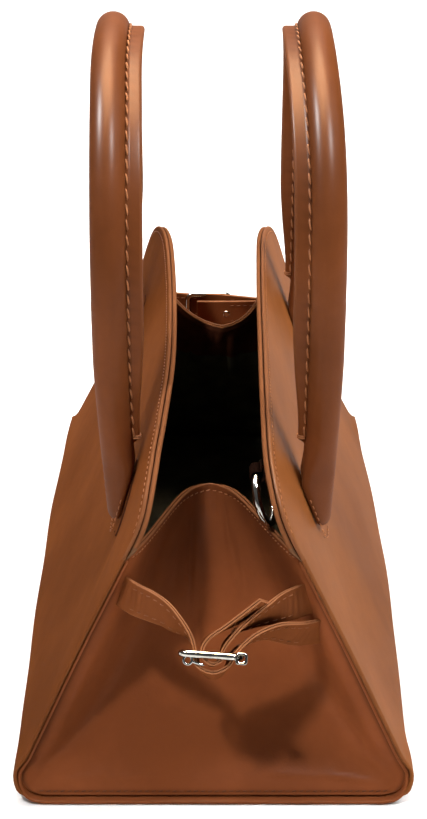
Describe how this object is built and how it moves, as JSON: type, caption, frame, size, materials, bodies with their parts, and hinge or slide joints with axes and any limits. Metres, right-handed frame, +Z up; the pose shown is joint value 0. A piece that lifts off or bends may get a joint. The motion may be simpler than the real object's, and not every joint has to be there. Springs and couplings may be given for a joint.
{
  "type": "handbag",
  "caption": "Smooth leather handbag with leaning panels, folded belted end gussets, rolled top handles and an open mouth.",
  "frame": {"origin": "middle of the base, on the surface that the bag stands on", "axes": "+X along the bag towards its right end, +Y across it from the front panel to the back panel, +Z up"},
  "size_m": [0.3299, 0.1646, 0.2765],
  "materials": {
    "leather": "smooth tan leather, soft satin sheen, fine grain",
    "gusset_leather": "smooth tan leather, soft folds",
    "handle_leather": "smooth rolled tan leather with a stitched seam",
    "strap_leather": "thin tan leather strap with painted edges",
    "lining": "dark lining",
    "silver": "polished silver-coloured metal"
  },
  "bodies": {
    "root": {"front_panel": "leather", "front_lining": "lining", "front_handle": "handle_leather", "back_panel": "leather", "back_lining": "lining", "back_handle": "handle_leather", "base_panel": "leather", "base_lining": "lining", "right_gusset": "gusset_leather", "right_gusset_lining": "lining", "right_belt_strap": "strap_leather", "right_belt_tail": "strap_leather", "right_buckle_frame": "silver", "right_buckle_prong": "silver", "left_gusset": "gusset_leather", "left_gusset_lining": "lining", "left_belt_strap": "strap_leather", "left_belt_tail": "strap_leather", "left_buckle_frame": "silver", "left_buckle_prong": "silver", "ring_tab": "strap_leather", "inner_ring": "silver"}
  },
  "joints": []
}
